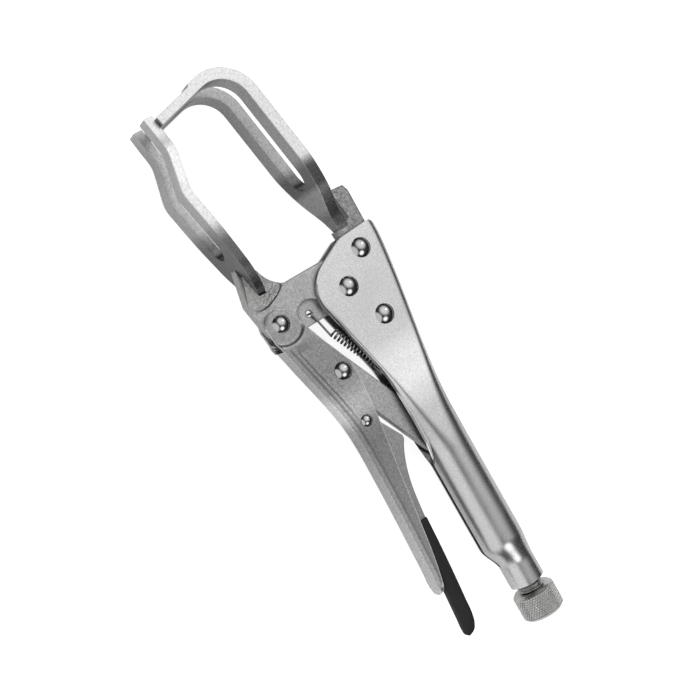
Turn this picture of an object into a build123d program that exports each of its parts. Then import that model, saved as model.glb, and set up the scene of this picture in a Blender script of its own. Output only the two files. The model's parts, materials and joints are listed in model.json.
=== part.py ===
from build123d import *
import math
import os

os.makedirs("parts", exist_ok=True)

# A locking clamp with forked welding jaws, lying on its side.
# Lengths are in millimetres. In the clamp's own plane, x runs along the adjusting screw
# from the handle's mouth towards the jaws, and y from the screw's axis towards the lower handle.
# The shared origin is the clamping point, between the upper fork's tips and the lower fork.
reach_x = 251.5
reach_y = 48.0
side = Plane(origin=(-reach_x, -reach_y, 0))
plan = Plane(origin=(-reach_x, -reach_y, 0), x_dir=(1, 0, 0), z_dir=(0, 1, 0))

# Sheet and plate thicknesses
sheet = 2.5
jaw_plate = 6.5
link_plate = 5.0
lever_plate = 3.0
upper_bar = 5.0
tine_step = 1.2
lower_bar = 3.9

# Clearances
side_gap = 0.25
pin_gap = 0.05
fixed_pin_gap = 0.02
screw_gap = 0.05

# Rivet and pivot centres
front_rivet_x, front_rivet_y = 166.0, -6.7
rear_rivet_x, rear_rivet_y = 135.9, -1.1
pivot_x, pivot_y = 154.1, 7.2
handle_pin_x, handle_pin_y = 155.0, 42.5
link_pin_x, link_pin_y = 124.4, 29.0
lever_pin_x, lever_pin_y = 100.8, 31.1
toggle_end_x, toggle_end_y = 75.0, 5.9
hook_x, hook_y = 152.4, 27.5

# Rivets
rivet_shank_r = 3.2
jaw_head_r = 4.5
pin_head_r = 4.0
lever_shank_r = 1.6
lever_head_r = 2.6
head_rise = 1.9
lever_head_rise = 1.1

# Fixed handle: a folded channel at the jaws that rolls up into a tube
cheek_in = jaw_plate / 2 + side_gap
cheek_out = cheek_in + sheet
handle_front_x = 175.2
fold_r = 4.0
bulge_r = 14.8
edge_x, edge_y = 108.0, 12.2
barrel_r = 10.6
barrel_y = 1.6
roll_x = 70.0
roll_start_x = 127.0
handle_depth = 19.4
round_off = 0.03
mouth_open_x = 78.0
mouth_shut_x = 66.0
mouth_half = 5.6
slot_half = 1.2
slot_end_x = 12.5
barrel_end_x = 20.0
neck_x = 12.0
neck_r = 8.2
neck_rim_x = -0.5
peg_x, peg_y = 113.0, 8.5
peg_r = 1.3

# Adjusting screw
screw_r = 6.0
screw_tip_x = 65.0
knob_r = 9.9
knob_front_x = -4.8
knob_end_x = -17.3
knob_bevel = 1.2

# Forks
past_tips_x = 270.0

# Upper fork
upper_half = 19.0
upper_slot_half = 8.0
upper_slot_x = 199.5
upper_full_x = 213.0
upper_waist = [(204.5, 17.4), (195.0, 13.4), (184.5, 6.2)]
spade_x = 177.3
spade_half = 3.2
bar_slope = 9.5
upper_bar_x, upper_bar_y = 193.6, -4.9
bend_out_r = 18.0
bar_length = 53.4
tine_lean = 16.0
tine_step_y = 30.3

# Fixed jaw root
root_arc_r = 9.4
root_nose_x = 194.3
root_back_x, root_back_y = 150.0, -15.9
root_tail_r = 7.0

# Lower fork and jaw plate
lower_half = 17.0
lower_half_tip = 15.4
lower_full_x = 208.0
lower_neck = [(198.0, 16.4), (191.0, 15.3), (184.0, 14.0), (178.7, 11.8), (173.0, 8.0)]
lower_half_root = 3.8
lower_slot_x = 190.0
lower_slot_half = 6.2
lower_root_x, lower_root_y = 169.6, 40.75
lower_bend_r = 14.0
jaw_shoulder_y = 11.0
gusset_foot_y = 31.3
gusset_knee = (179.4, 39.2)
gusset_x = 187.5
keel_x = 184.5
boss_r = 9.0
handle_boss_r = 6.2
jaw_front_x = 169.4
lug_back_x = 147.6
hook_r = 1.45

# Lower handle
lower_half_out = 7.25
lower_fold_r = 3.0
lower_tip_r = 6.0
ear_r = 6.6
joggle_r = 9.6

# Toggle link
link_hub_r = 6.9
link_low = 4.65
link_nose = 7.5
link_boss_r = 4.7

# Lever and sleeve
sleeve_half = 2.5

# Spring
spring_r = 2.1
wire_r = 0.5
coil_pitch = 1.9


def along(x, y, angle, forward, left):
    """Point reached from (x, y) by going forward and to the left of a heading in degrees."""
    c = math.cos(math.radians(angle))
    s = math.sin(math.radians(angle))
    return (x + forward * c - left * s, y + forward * s + left * c)


def channel_section(x, half, low, high, fold, lip):
    """Upright section of the folded handle, with its two folds and its two lips rounded."""
    with BuildSketch(Plane(origin=(x - reach_x, -reach_y, 0), x_dir=(0, 1, 0), z_dir=(1, 0, 0))) as section:
        with Locations(((low + high) / 2, 0)):
            Rectangle(high - low, 2 * half)
        fillet(section.vertices().group_by(Axis.X)[0], min(fold, half - round_off))
        fillet(section.vertices().group_by(Axis.X)[-1], min(lip, half - round_off))
    return section.sketch


def round_section(x, y, radius):
    """Upright circle across the screw's axis."""
    with BuildSketch(Plane(origin=(x - reach_x, y - reach_y, 0), x_dir=(0, 1, 0), z_dir=(1, 0, 0))) as section:
        Circle(radius)
    return section.sketch


def rivet(x, y, grip_half, shank, head, rise):
    """Rivet with a domed head on each face of what it holds."""
    ball_r = (head ** 2 + rise ** 2) / (2 * rise)
    centre = (x - reach_x, y - reach_y)
    with BuildPart() as body:
        with Locations((*centre, grip_half + rise - ball_r)):
            Sphere(ball_r)
        split(bisect_by=Plane(origin=(*centre, grip_half)), keep=Keep.TOP)
        with Locations((*centre, grip_half / 2)):
            Cylinder(shank, grip_half)
        mirror(about=Plane.XY)
    return body.part


# Fixed handle
def eased(t):
    """Smooth rise from 0 to 1."""
    t = min(max(t, 0.0), 1.0)
    return t * t * (3 - 2 * t)


def handle_station(x):
    """Half width, back and fold radius of the fixed handle at a place along the screw."""
    roll = eased((roll_start_x - x) / (roll_start_x - roll_x))
    back = barrel_y - barrel_r - (handle_depth - barrel_r + barrel_y) * eased((x - 84.0) / 96.0)
    half = cheek_out + (barrel_r - cheek_out) * roll
    return half, back, fold_r + (barrel_r - round_off - fold_r) * roll


def handle_lip(x):
    """Radius to which the sheet's edge is rolled in, along the tapering mouth."""
    return 2.6 + (barrel_r - round_off - 2.6) * (edge_x - x) / (edge_x - roll_x)


front_stations = [handle_front_x + 1.0, 162.0, 150.0, 138.0, roll_start_x, 120.0, 114.0, edge_x]
rear_stations = [edge_x, 102.0, 96.0, 90.0, 84.0, 77.0, roll_x]
cheek_top = 26.0
barrel_top = barrel_y + barrel_r

front_outer = []
front_inner = []
for x in front_stations:
    half, back, fold = handle_station(x)
    front_outer.append(channel_section(x, half, back, cheek_top, fold, 1.0))
    front_inner.append(channel_section(x, half - sheet, back + sheet, cheek_top + 1, fold - sheet, 0.5))
rear_outer = []
rear_inner = []
for x in rear_stations:
    half, back, fold = handle_station(x)
    lip = handle_lip(x)
    rear_outer.append(channel_section(x, half, back, barrel_top, fold, lip))
    rear_inner.append(channel_section(x, half - sheet, back + sheet, barrel_top - sheet, fold - sheet,
                                      max(lip - sheet, 0.5)))

with BuildPart() as fixed_handle:
    loft(front_outer, ruled=True)
    loft(front_inner, ruled=True, mode=Mode.SUBTRACT)
    with BuildSketch(side.offset(-20)):
        with BuildLine():
            bulge = CenterArc((pivot_x, pivot_y), bulge_r, 24, 78)
            Polyline(bulge @ 1, (123.6, 14.8), (116.0, 12.9), (edge_x, edge_y), (edge_x, -30), (176.2, -30))
            Polyline((176.2, -30), (handle_front_x, -17.0), (173.9, 0.0), bulge @ 0)
        make_face()
    extrude(amount=40, mode=Mode.INTERSECT)
    with BuildSketch(side.offset(-20)):
        with Locations((handle_front_x, -19.8)):
            Rectangle(5, 5, rotation=45)
    extrude(amount=40, mode=Mode.SUBTRACT)
    loft(rear_outer, ruled=True)
    extrude(round_section(barrel_end_x, barrel_y, barrel_r), amount=roll_x - barrel_end_x)
    loft([round_section(barrel_end_x, barrel_y, barrel_r), round_section(neck_x, 0, neck_r)])
    extrude(round_section(neck_rim_x, 0, neck_r), amount=neck_x - neck_rim_x)
    loft(rear_inner, ruled=True, mode=Mode.SUBTRACT)
    extrude(round_section(barrel_end_x, barrel_y, barrel_r - sheet), amount=roll_x - barrel_end_x + 0.01,
            mode=Mode.SUBTRACT)
    extrude(round_section(neck_rim_x - 1, 0, screw_r + screw_gap), amount=barrel_end_x + 3, mode=Mode.SUBTRACT)
    with BuildSketch(plan.offset(edge_y - 9.0)):
        with BuildLine():
            Polyline((edge_x, -4.8), (edge_x, 4.8), (mouth_open_x + 14, 6.2), (mouth_open_x, mouth_half))
            ThreePointArc((mouth_open_x, mouth_half), (70.5, 3.4), (mouth_shut_x, slot_half))
            Line((mouth_shut_x, slot_half), (slot_end_x, slot_half))
            ThreePointArc((slot_end_x, slot_half), (slot_end_x - slot_half, 0), (slot_end_x, -slot_half))
            Line((slot_end_x, -slot_half), (mouth_shut_x, -slot_half))
            ThreePointArc((mouth_shut_x, -slot_half), (70.5, -3.4), (mouth_open_x, -mouth_half))
            Polyline((mouth_open_x, -mouth_half), (mouth_open_x + 14, -6.2), (edge_x, -4.8))
        make_face()
    extrude(amount=20, mode=Mode.SUBTRACT)
    with BuildSketch(side.offset(-5.5)):
        with Locations((peg_x, peg_y)):
            Circle(peg_r)
    extrude(amount=6.5)
    with BuildSketch(side.offset(-20)):
        with Locations((front_rivet_x, front_rivet_y), (rear_rivet_x, rear_rivet_y), (pivot_x, pivot_y)):
            Circle(rivet_shank_r + fixed_pin_gap)
    extrude(amount=40, mode=Mode.SUBTRACT)
fixed_handle.part.label = "fixed_handle"
export_step(fixed_handle.part, "parts/fixed_handle.step")

# Fixed jaw root, riveted between the cheeks and welded under the upper fork
bar_tan = math.tan(math.radians(bar_slope))
nose_top_y = upper_bar_y + bar_tan * (root_nose_x - upper_bar_x)
spade_low_y = upper_bar_y + bar_tan * (spade_x - upper_bar_x)
with BuildPart() as fixed_jaw_root:
    with BuildSketch(side.offset(-jaw_plate / 2)):
        with BuildLine():
            seat = CenterArc((pivot_x, pivot_y), root_arc_r, -37, -148)
            tail = CenterArc((rear_rivet_x, rear_rivet_y), root_tail_r, 120, 118)
            Polyline(seat @ 1, (140.5, 4.9), tail @ 0)
            Polyline(tail @ 1, (root_back_x, root_back_y + 2.7), (handle_front_x, root_back_y + 0.2),
                     (root_nose_x - 3.9, root_back_y), (root_nose_x - 0.7, root_back_y + 1.3), (root_nose_x, nose_top_y))
            Polyline((root_nose_x, nose_top_y), (spade_x, spade_low_y), (spade_x, -1.3), (172.3, -1.7), seat @ 0)
        make_face()
        with Locations((front_rivet_x, front_rivet_y), (rear_rivet_x, rear_rivet_y)):
            Circle(rivet_shank_r + fixed_pin_gap, mode=Mode.SUBTRACT)
    extrude(amount=jaw_plate)
fixed_jaw_root.part.label = "fixed_jaw_root"
export_step(fixed_jaw_root.part, "parts/fixed_jaw_root.step")

# Upper fork, one bent bar slotted into two tines
root_out = (spade_x, spade_low_y)
bend_x, bend_y = along(upper_bar_x, upper_bar_y, bar_slope, bar_length, bend_out_r)
bar_end = along(bend_x, bend_y, bar_slope - 90, bend_out_r, 0)
bar_end_in = along(bend_x, bend_y, bar_slope - 90, bend_out_r - upper_bar, 0)
root_in = (spade_x, spade_low_y + upper_bar / math.cos(math.radians(bar_slope)))
tine_start = along(bend_x, bend_y, tine_lean, bend_out_r, 0)
tine_start_in = along(bend_x, bend_y, tine_lean, bend_out_r - upper_bar, 0)
tine_tan = math.tan(math.radians(tine_lean))
step_x = tine_start[0] - tine_tan * (tine_step_y - tine_start[1])
tip_out_y = 48.9
tip_in_y = 48.1
tip_out_x = step_x - tine_step - tine_tan * (tip_out_y - tine_step_y)
tip_in_x = tine_start_in[0] - tine_tan * (tip_in_y - tine_start_in[1])
with BuildPart() as fixed_jaw_fork:
    with BuildSketch(side.offset(-upper_half)):
        with BuildLine():
            Line(root_out, bar_end)
            ThreePointArc(bar_end, along(bend_x, bend_y, -35, bend_out_r, 0), tine_start)
            Polyline(tine_start, (step_x, tine_step_y), (step_x - tine_step, tine_step_y + 0.4),
                     (tip_out_x, tip_out_y), (tip_in_x, tip_in_y), tine_start_in)
            ThreePointArc(tine_start_in, along(bend_x, bend_y, -35, bend_out_r - upper_bar, 0), bar_end_in)
            Polyline(bar_end_in, root_in, root_out)
        make_face()
    extrude(amount=2 * upper_half)
    with BuildSketch(plan.offset(-30)):
        with BuildLine():
            Polyline((past_tips_x, upper_half), (upper_full_x, upper_half))
            Spline((upper_full_x, upper_half), *upper_waist, (spade_x, spade_half), tangents=((-1, 0), (-1, -0.25)))
            Line((spade_x, spade_half), (spade_x, -spade_half))
            Spline((upper_full_x, -upper_half), *[(x, -half) for x, half in upper_waist], (spade_x, -spade_half),
                   tangents=((-1, 0), (-1, 0.25)))
            Polyline((upper_full_x, -upper_half), (past_tips_x, -upper_half), (past_tips_x, upper_half))
        make_face()
    extrude(amount=100, mode=Mode.INTERSECT)
    with BuildSketch(plan.offset(-30)):
        with Locations((upper_slot_x + 40, 0)):
            SlotOverall(80, 2 * upper_slot_half)
    extrude(amount=100, mode=Mode.SUBTRACT)
fixed_jaw_fork.part.label = "fixed_jaw_fork"
export_step(fixed_jaw_fork.part, "parts/fixed_jaw_fork.step")

# Weld beads along both sides of the fixed jaw root, and the bead over the spade's end
with BuildPart() as fixed_jaw_weld:
    with BuildSketch(Plane(origin=(spade_x - reach_x + 2.2, spade_low_y - reach_y + 0.33, 0),
                           x_dir=(0, 0, 1), z_dir=(1, bar_tan, 0))):
        with BuildLine():
            Polyline((jaw_plate / 2, 0), (jaw_plate / 2 + 2.6, 0))
            ThreePointArc((jaw_plate / 2 + 2.6, 0), (jaw_plate / 2 + 1.1, 1.3), (jaw_plate / 2, 2.9))
            Line((jaw_plate / 2, 2.9), (jaw_plate / 2, 0))
        make_face()
        with BuildLine():
            Polyline((-jaw_plate / 2, 0), (-jaw_plate / 2 - 2.6, 0))
            ThreePointArc((-jaw_plate / 2 - 2.6, 0), (-jaw_plate / 2 - 1.1, 1.3), (-jaw_plate / 2, 2.9))
            Line((-jaw_plate / 2, 2.9), (-jaw_plate / 2, 0))
        make_face()
    extrude(amount=14.0)
fixed_jaw_weld.part.label = "fixed_jaw_weld"
export_step(fixed_jaw_weld.part, "parts/fixed_jaw_weld.step")

# Movable jaw plate, pivoting between the cheeks
lower_spine = [(lower_root_x, lower_root_y), (221.5, 51.0), (239.5, 46.9), (254.9, 49.25)]
lower_tan = (lower_spine[1][1] - lower_root_y) / (lower_spine[1][0] - lower_root_x)
root_foot = (lower_root_x, lower_root_y + lower_bar)
gusset_end = (gusset_x, lower_root_y + lower_tan * (gusset_x - lower_root_x))
keel_end = (keel_x, lower_root_y + lower_bar + lower_tan * (keel_x - lower_root_x))
with BuildPart() as movable_jaw_plate:
    with BuildSketch(side.offset(-jaw_plate / 2)):
        with BuildLine():
            boss = CenterArc((pivot_x, pivot_y), boss_r, 180, 139)
            toe = CenterArc((handle_pin_x, handle_pin_y), handle_boss_r, 103, 87)
            Polyline(boss @ 1, (jaw_front_x, jaw_shoulder_y), (jaw_front_x, gusset_foot_y))
            ThreePointArc((jaw_front_x, gusset_foot_y), (jaw_front_x + 3.9, gusset_foot_y + 4.9), gusset_knee)
            Polyline(gusset_knee, gusset_end, lower_spine[0], root_foot, keel_end, (168.5, 51.0), (166.8, 50.8), toe @ 0)
            Polyline(toe @ 1, (lug_back_x, 32.0), (lug_back_x, 16.0), boss @ 0)
        make_face()
        with Locations((pivot_x, pivot_y), (handle_pin_x, handle_pin_y)):
            Circle(rivet_shank_r + pin_gap, mode=Mode.SUBTRACT)
        with Locations((hook_x, hook_y)):
            Circle(hook_r, mode=Mode.SUBTRACT)
    extrude(amount=jaw_plate)
    for face_z in (jaw_plate / 2 - 2.2, -jaw_plate / 2):
        with BuildSketch(side.offset(face_z)):
            with Locations((hook_x - 0.3, hook_y - 0.4)):
                Circle(6.3)
            with Locations((hook_x - 8, hook_y - 0.4)):
                Rectangle(16, 12.6)
        extrude(amount=2.2, mode=Mode.SUBTRACT)
movable_jaw_plate.part.label = "movable_jaw_plate"
export_step(movable_jaw_plate.part, "parts/movable_jaw_plate.step")

# Lower fork
with BuildPart() as movable_jaw_fork:
    with BuildSketch(side.offset(-lower_half)):
        with BuildLine():
            inner = FilletPolyline(*lower_spine, radius=lower_bend_r)
            outer = FilletPolyline(*[(x, y + lower_bar) for x, y in lower_spine], radius=lower_bend_r)
            Line(inner @ 0, outer @ 0)
            Line(inner @ 1, outer @ 1)
        make_face()
    extrude(amount=2 * lower_half)
    with BuildSketch(plan.offset(30)):
        with BuildLine():
            Spline((lower_full_x, lower_half), *lower_neck, (lower_root_x, lower_half_root), tangents=((-1, 0), (-1, -1.5)))
            Line((lower_root_x, lower_half_root), (lower_root_x, -lower_half_root))
            Spline((lower_full_x, -lower_half), *[(x, -half) for x, half in lower_neck],
                   (lower_root_x, -lower_half_root), tangents=((-1, 0), (-1, 1.5)))
            FilletPolyline(
                (lower_full_x, -lower_half), (226.0, -lower_half), (243.0, -lower_half_tip), (255.5, -lower_half_tip),
                (255.5, lower_half_tip), (243.0, lower_half_tip), (226.0, lower_half), (lower_full_x, lower_half),
                radius=1.2)
        make_face()
    extrude(amount=40, mode=Mode.INTERSECT)
    with BuildSketch(plan.offset(30)):
        with Locations((lower_slot_x + 40, 0)):
            SlotOverall(80, 2 * lower_slot_half)
    extrude(amount=40, mode=Mode.SUBTRACT)
movable_jaw_fork.part.label = "movable_jaw_fork"
export_step(movable_jaw_fork.part, "parts/movable_jaw_fork.step")

# Weld pads over both faces of the jaw plate, running into the fork's root
pad_end_x = 181.0
pad_end_y = lower_root_y + lower_tan * (pad_end_x - lower_root_x)
with BuildPart() as movable_jaw_weld:
    with BuildSketch(side.offset(jaw_plate / 2)):
        with BuildLine():
            Polyline((169.0, 32.4), (173.0, 36.5), (179.0, 39.5), (pad_end_x, pad_end_y), lower_spine[0], root_foot,
                     (pad_end_x, pad_end_y + lower_bar), (168.4, 50.5), (163.8, 48.7))
            ThreePointArc((163.8, 48.7), (164.6, 40.2), (169.0, 32.4))
        make_face()
    extrude(amount=1.8)
    chamfer(movable_jaw_weld.edges().group_by(Axis.Z)[-1], 0.8)
    with BuildSketch(Plane(origin=(172.5 - reach_x, root_foot[1] + lower_tan * (172.5 - lower_root_x) - reach_y,
                                   jaw_plate / 2), x_dir=(0, 0, 1), z_dir=(1, lower_tan, 0))):
        with BuildLine():
            Polyline((0, 0), (3.8, 0), (0, -1.9), (0, 0))
        make_face()
    extrude(amount=8.0)
    mirror(about=Plane.XY)
movable_jaw_weld.part.label = "movable_jaw_weld"
export_step(movable_jaw_weld.part, "parts/movable_jaw_weld.step")

# Lower handle, a folded channel with two joggled ears
handle_end_x = 18.0
web_front_x = 144.0
handle_web = [(164.0, 53.6), (144.0, 47.5), (132.0, 44.7), (120.0, 41.8), (112.0, 40.0), (105.0, 38.7), (98.0, 37.9),
              (90.0, 37.6), (76.0, 37.8), (60.0, 38.3), (40.0, 39.2), (16.0, 40.4)]
handle_edge = [(147.7, 33.1), (141.9, 30.8), (124.8, 24.2), (113.1, 24.3), (98.8, 25.8), (75.6, 29.3),
               (56.4, 32.0), (30.0, 36.2)]

with BuildPart() as lower_handle:
    loft([channel_section(x, lower_half_out, 10.0, y, 0.5, lower_fold_r) for x, y in handle_web], ruled=True)
    loft([channel_section(x, lower_half_out - sheet, 9.0, y - sheet, 0.4, 0.6) for x, y in handle_web],
         ruled=True, mode=Mode.SUBTRACT)
    with BuildSketch(side.offset(-lower_half_out)):
        with BuildLine():
            ear = CenterArc((handle_pin_x, handle_pin_y), ear_r, 105, -150)
            edge = Spline(*handle_edge)
            Polyline(ear @ 0, (147.6, 48.4), (web_front_x, 52.0), (handle_end_x, 52.0))
            FilletPolyline((handle_end_x, 52.0), (handle_end_x, 39.0), edge @ 1, radius=2.5)
            Polyline(edge @ 0, (153.5, 34.9), ear @ 1)
        make_face()
    extrude(amount=2 * lower_half_out, mode=Mode.INTERSECT)
    with BuildSketch(plan.offset(25)):
        with Locations((handle_end_x, 0)):
            Rectangle(2 * lower_tip_r, 4 * lower_tip_r)
        with Locations((handle_end_x + 40, 0)):
            RectangleRounded(80, 2 * lower_half_out + 0.02, lower_tip_r, mode=Mode.SUBTRACT)
    extrude(amount=40, mode=Mode.SUBTRACT)
    with BuildSketch(side.offset(-(lower_half_out - sheet))):
        with Locations((web_front_x + 15, 40)):
            Rectangle(30, 40)
    extrude(amount=2 * (lower_half_out - sheet), mode=Mode.SUBTRACT)
    for z_low, depth, how in ((cheek_in, lower_half_out - sheet - cheek_in, Mode.ADD),
                              (-(lower_half_out - sheet), lower_half_out - sheet - cheek_in, Mode.ADD),
                              (cheek_out, 5.0, Mode.SUBTRACT), (-cheek_out - 5.0, 5.0, Mode.SUBTRACT)):
        with BuildSketch(side.offset(z_low)):
            with BuildLine():
                round_ear = CenterArc((handle_pin_x, handle_pin_y), ear_r, 105, -150)
                Polyline(round_ear @ 0, (147.6, 48.4), (web_front_x, 47.0), (140.0, 46.0), (140.0, 30.1), edge @ 0)
                Polyline(edge @ 0, (153.5, 34.9), round_ear @ 1)
            make_face()
            with Locations((handle_pin_x, handle_pin_y)):
                Circle(joggle_r, mode=Mode.INTERSECT)
        extrude(amount=depth, mode=how)
    with BuildSketch(side.offset(-20)):
        with Locations((handle_pin_x, handle_pin_y), (link_pin_x, link_pin_y)):
            Circle(rivet_shank_r + fixed_pin_gap)
        with Locations((lever_pin_x, lever_pin_y)):
            Circle(lever_shank_r + fixed_pin_gap)
    extrude(amount=40, mode=Mode.SUBTRACT)
lower_handle.part.label = "lower_handle"
export_step(lower_handle.part, "parts/lower_handle.step")

# Toggle link from the lower handle to the screw's tip
link_angle = math.degrees(math.atan2(link_pin_y - toggle_end_y, link_pin_x - toggle_end_x))
link_length = math.hypot(link_pin_x - toggle_end_x, link_pin_y - toggle_end_y)


def on_link(forward, left):
    """Point on the link, measured from its hub towards the jaws and to the lower handle's side."""
    return along(link_pin_x, link_pin_y, link_angle, forward, left)


with BuildPart() as toggle_link:
    with BuildSketch(side.offset(-link_plate / 2)):
        with BuildLine():
            Polyline(on_link(-link_length, -link_low), on_link(-link_length + 9, -link_hub_r), on_link(link_nose, -link_hub_r))
            ThreePointArc(on_link(link_nose, -link_hub_r), on_link(link_hub_r + 1.8, 0), on_link(0, link_hub_r))
            Polyline(on_link(0, link_hub_r), on_link(-18, link_low), on_link(-link_length, link_low))
            ThreePointArc(on_link(-link_length, link_low), on_link(-link_length - link_low, 0),
                          on_link(-link_length, -link_low))
        make_face()
    extrude(amount=link_plate)
    with BuildSketch(side.offset(-(lower_half_out - sheet - side_gap))):
        with Locations((link_pin_x, link_pin_y)):
            Circle(link_boss_r)
    extrude(amount=2 * (lower_half_out - sheet - side_gap))
    with BuildSketch(side.offset(-20)):
        with Locations((link_pin_x, link_pin_y)):
            Circle(rivet_shank_r + pin_gap)
    extrude(amount=40, mode=Mode.SUBTRACT)
toggle_link.part.label = "toggle_link"
export_step(toggle_link.part, "parts/toggle_link.step")

# Release lever inside the lower handle, and its dipped sleeve
lever_top = [(82.0, 19.8), (77.5, 22.0), (69.6, 24.7), (60.5, 26.5), (50.0, 27.8), (32.0, 30.4), (12.0, 32.0), (-1.2, 35.0)]
with BuildPart() as release_lever:
    with BuildSketch(side.offset(-lever_plate / 2)):
        with BuildLine():
            Polyline((-1.2, 35.0), (-1.0, 36.6), (14.0, 35.2), (40.0, 34.3), (75.0, 33.8), (94.0, 34.6), (99.5, 35.0))
            ThreePointArc((99.5, 35.0), (104.6, 33.0), (104.9, 29.5))
            Polyline((104.9, 29.5), (97.0, 24.4), (86.2, 18.2), (84.4, 18.2), (82.0, 19.8))
            Spline(*lever_top)
        make_face()
        with Locations((lever_pin_x, lever_pin_y)):
            Circle(lever_shank_r + pin_gap, mode=Mode.SUBTRACT)
    extrude(amount=lever_plate)
release_lever.part.label = "release_lever"
export_step(release_lever.part, "parts/release_lever.step")

with BuildPart() as lever_sleeve:
    with BuildSketch(side.offset(-sleeve_half)):
        with BuildLine():
            Spline((50.0, 27.0), (32.8, 28.1), (11.8, 30.0), (2.1, 31.0), (-3.4, 33.2), (-5.6, 36.6), (-3.7, 39.1),
                   (-1.0, 38.4), tangents=((-1, 0.02), (1, -0.12)))
            Spline((-1.0, 38.4), (8.7, 37.6), (24.0, 36.4), (50.0, 34.9), tangents=((1, -0.12), (1, -0.04)))
            Line((50.0, 34.9), (50.0, 27.0))
        make_face()
    extrude(amount=2 * sleeve_half)
    chamfer(lever_sleeve.edges().group_by(Axis.Z)[0] + lever_sleeve.edges().group_by(Axis.Z)[-1], 0.6)
    add(release_lever.part, mode=Mode.SUBTRACT)
lever_sleeve.part.label = "lever_sleeve"
export_step(lever_sleeve.part, "parts/lever_sleeve.step")

# Adjusting screw with its knob
with BuildPart() as adjusting_screw:
    extrude(round_section(knob_front_x, 0, screw_r), amount=screw_tip_x - knob_front_x)
    chamfer(adjusting_screw.edges().group_by(Axis.X)[-1], 0.8)
    extrude(round_section(knob_end_x, 0, knob_r), amount=knob_front_x - knob_end_x)
    chamfer(adjusting_screw.edges().filter_by(GeomType.CIRCLE).group_by(SortBy.RADIUS)[-1], knob_bevel)
adjusting_screw.part.label = "adjusting_screw"
export_step(adjusting_screw.part, "parts/adjusting_screw.step")

# Rivets
with BuildPart() as front_rivet:
    add(rivet(front_rivet_x, front_rivet_y, cheek_out, rivet_shank_r, jaw_head_r, head_rise))
front_rivet.part.label = "front_rivet"
export_step(front_rivet.part, "parts/front_rivet.step")

with BuildPart() as rear_rivet:
    add(rivet(rear_rivet_x, rear_rivet_y, cheek_out, rivet_shank_r, jaw_head_r, head_rise))
rear_rivet.part.label = "rear_rivet"
export_step(rear_rivet.part, "parts/rear_rivet.step")

with BuildPart() as jaw_pivot_rivet:
    add(rivet(pivot_x, pivot_y, cheek_out, rivet_shank_r, jaw_head_r, head_rise))
jaw_pivot_rivet.part.label = "jaw_pivot_rivet"
export_step(jaw_pivot_rivet.part, "parts/jaw_pivot_rivet.step")

with BuildPart() as lower_handle_rivet:
    add(rivet(handle_pin_x, handle_pin_y, cheek_out, rivet_shank_r, pin_head_r, head_rise))
lower_handle_rivet.part.label = "lower_handle_rivet"
export_step(lower_handle_rivet.part, "parts/lower_handle_rivet.step")

with BuildPart() as link_rivet:
    add(rivet(link_pin_x, link_pin_y, lower_half_out, rivet_shank_r, pin_head_r, head_rise))
link_rivet.part.label = "link_rivet"
export_step(link_rivet.part, "parts/link_rivet.step")

with BuildPart() as lever_rivet:
    add(rivet(lever_pin_x, lever_pin_y, lower_half_out, lever_shank_r, lever_head_r, lever_head_rise))
lever_rivet.part.label = "lever_rivet"
export_step(lever_rivet.part, "parts/lever_rivet.step")

# Return spring: a close coil with a straight leg at each end, hooked over the handle's peg and through the jaw
spring_angle = math.degrees(math.atan2(hook_y - peg_y, hook_x - peg_x))
spring_length = math.hypot(hook_x - peg_x, hook_y - peg_y)
coil_start, coil_end = 6.5, 30.0
eye_r = peg_r + wire_r + 0.1


def on_spring(forward, left, z):
    """Point on the spring, measured from the peg along the spring's axis."""
    x, y = along(peg_x, peg_y, spring_angle, forward, left)
    return (x - reach_x, y - reach_y, z)


spring_way = (math.cos(math.radians(spring_angle)), math.sin(math.radians(spring_angle)), 0)
with BuildPart() as return_spring:
    with BuildLine():
        helix = Helix(coil_pitch, coil_end - coil_start, spring_r, center=on_spring(coil_start, 0, 0),
                      direction=spring_way)
    with BuildSketch(Plane(origin=helix @ 0, z_dir=helix % 0)):
        RegularPolygon(wire_r, 6)
    sweep(path=helix)
    with BuildLine() as rear_wire:
        eye = ThreePointArc(on_spring(eye_r * 0.5, -eye_r * 0.866, 0), on_spring(-eye_r, 0, 0), on_spring(0, eye_r, 0))
        Line(eye @ 1, on_spring(coil_start + coil_pitch, eye_r, 0))
    with BuildSketch(Plane(origin=eye @ 0, z_dir=eye % 0)):
        RegularPolygon(wire_r, 6)
    sweep(path=rear_wire.wires()[0])
    with BuildLine():
        front_leg = Line(on_spring(coil_end - coil_pitch, 0, spring_r), on_spring(spring_length - 0.2, 0, 1.9))
    with BuildSketch(Plane(origin=front_leg @ 0, z_dir=front_leg % 0)):
        RegularPolygon(wire_r, 6)
    sweep(path=front_leg)
    with BuildSketch(Plane(origin=on_spring(spring_length - 0.2, 0, -2.2), z_dir=(0, 0, 1))):
        RegularPolygon(wire_r, 6)
    extrude(amount=4.1)
return_spring.part.label = "return_spring"
export_step(return_spring.part, "parts/return_spring.step")
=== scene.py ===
"""Locking C clamp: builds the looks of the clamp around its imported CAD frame.

The frame's metres and axes are kept: +X runs along the adjusting screw towards the jaws,
+Y from the fixed handle to the lower handle and +Z along the rivets. The clamp lies on its side.
"""

import json
import logging
import math
from dataclasses import dataclass, field
from enum import Enum
from typing import Dict, List, Optional, Sequence, Tuple, Union

import bpy
import numpy as np
from mathutils import Matrix, Vector

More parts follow.
